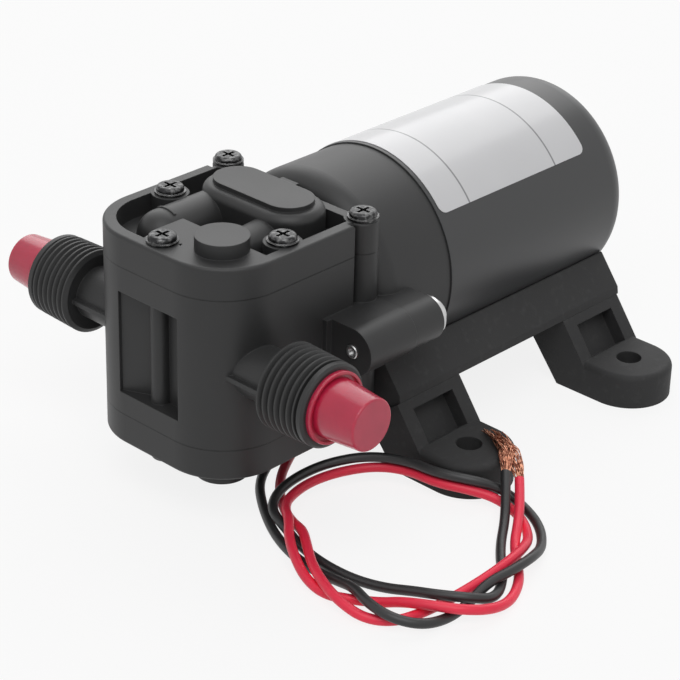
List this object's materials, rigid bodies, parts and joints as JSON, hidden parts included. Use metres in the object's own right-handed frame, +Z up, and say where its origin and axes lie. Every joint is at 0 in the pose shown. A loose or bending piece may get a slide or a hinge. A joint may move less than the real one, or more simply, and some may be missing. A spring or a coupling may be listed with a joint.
{
  "type": "diaphragm pump",
  "caption": "Electric diaphragm pump: opposed twin-diaphragm head with side threaded ports and red caps, round motor on a cradle with four rubber feet, two lead wires.",
  "frame": {"origin": "centre of the four foot holes, on the surface that the feet stand on", "axes": "+Z up; +X along the motor from the head to the motor's rear end; +Y towards the inlet port"},
  "size_m": [0.1489, 0.1494, 0.071],
  "materials": {
    "head_plastic": "satin moulded nylon",
    "can_paint": "semi-gloss black paint",
    "label_white": "glossy white film with thin rules",
    "cradle_rubber": "matte moulded rubber",
    "foot_rubber": "matte moulded rubber",
    "screw_black": "black oxide",
    "screw_zinc": "bright zinc plate",
    "cap_red": "translucent glossy red",
    "seal_rubber": "matte moulded rubber",
    "valve_plastic": "moulded plastic",
    "yoke_plastic": "moulded plastic",
    "steel": "ground steel",
    "laminations": "stacked sheet steel",
    "copper": "bare copper",
    "enamel": "enamelled copper wire",
    "bronze": "sintered bronze",
    "ferrite": "hard ferrite",
    "carbon": "pressed carbon",
    "holder_plastic": "moulded laminate",
    "wire_red": "satin PVC",
    "wire_black": "satin PVC"
  },
  "bodies": {
    "pump": {"head_body": "head_plastic", "upper_valve_cover": "head_plastic", "lower_valve_cover": "head_plastic", "upper_valve_plate": "valve_plastic", "lower_valve_plate": "valve_plastic", "upper_inlet_valve": "seal_rubber", "upper_outlet_valve": "seal_rubber", "lower_inlet_valve": "seal_rubber", "lower_outlet_valve": "seal_rubber", "upper_valve_seal": "seal_rubber", "lower_valve_seal": "seal_rubber", "upper_diaphragm": "seal_rubber", "lower_diaphragm": "seal_rubber", "brushes": "carbon", "brush_springs": "bronze", "brush_holder": "holder_plastic", "magnets": "ferrite", "front_bush": "bronze", "rear_bush": "bronze", "motor_front_housing": "head_plastic", "motor_can": "can_paint", "motor_label": "label_white", "boss_screws": "screw_zinc", "upper_cover_screws": "screw_black", "lower_cover_screws": "screw_black", "motor_cradle": "cradle_rubber", "front_left_foot": "foot_rubber", "front_right_foot": "foot_rubber", "rear_left_foot": "foot_rubber", "rear_right_foot": "foot_rubber", "wire_grommet": "seal_rubber", "red_wire": "wire_red", "black_wire": "wire_black", "red_wire_strands": "copper", "black_wire_strands": "copper"},
    "rotor": {"eccentric": "steel", "bearing_races": "steel", "bearing_balls": "steel", "motor_shaft": "steel", "armature_core": "laminations", "armature_windings": "enamel", "commutator": "copper"},
    "yoke": {"yoke": "yoke_plastic", "upper_piston": "yoke_plastic", "lower_piston": "yoke_plastic", "piston_screws": "screw_zinc"},
    "inlet_cap": {"inlet_cap": "cap_red"},
    "outlet_cap": {"outlet_cap": "cap_red"}
  },
  "joints": [
    {"name": "rotor_spin", "type": "hinge", "parent": "pump", "child": "rotor", "pos_m": [0, 0, 0.0423], "axis": [1, 0, 0], "continuous": true},
    {"name": "yoke_slide", "type": "slide", "parent": "pump", "child": "yoke", "axis": [0, 0, 1], "range_m": [-0.0009, 0.0009], "deforming": ["upper_diaphragm", "lower_diaphragm"]},
    {"name": "inlet_cap_pull", "type": "slide", "parent": "pump", "child": "inlet_cap", "axis": [0, 1, 0], "range_m": [0, 0.009]},
    {"name": "outlet_cap_pull", "type": "slide", "parent": "pump", "child": "outlet_cap", "axis": [0, -1, 0], "range_m": [0, 0.009]}
  ]
}
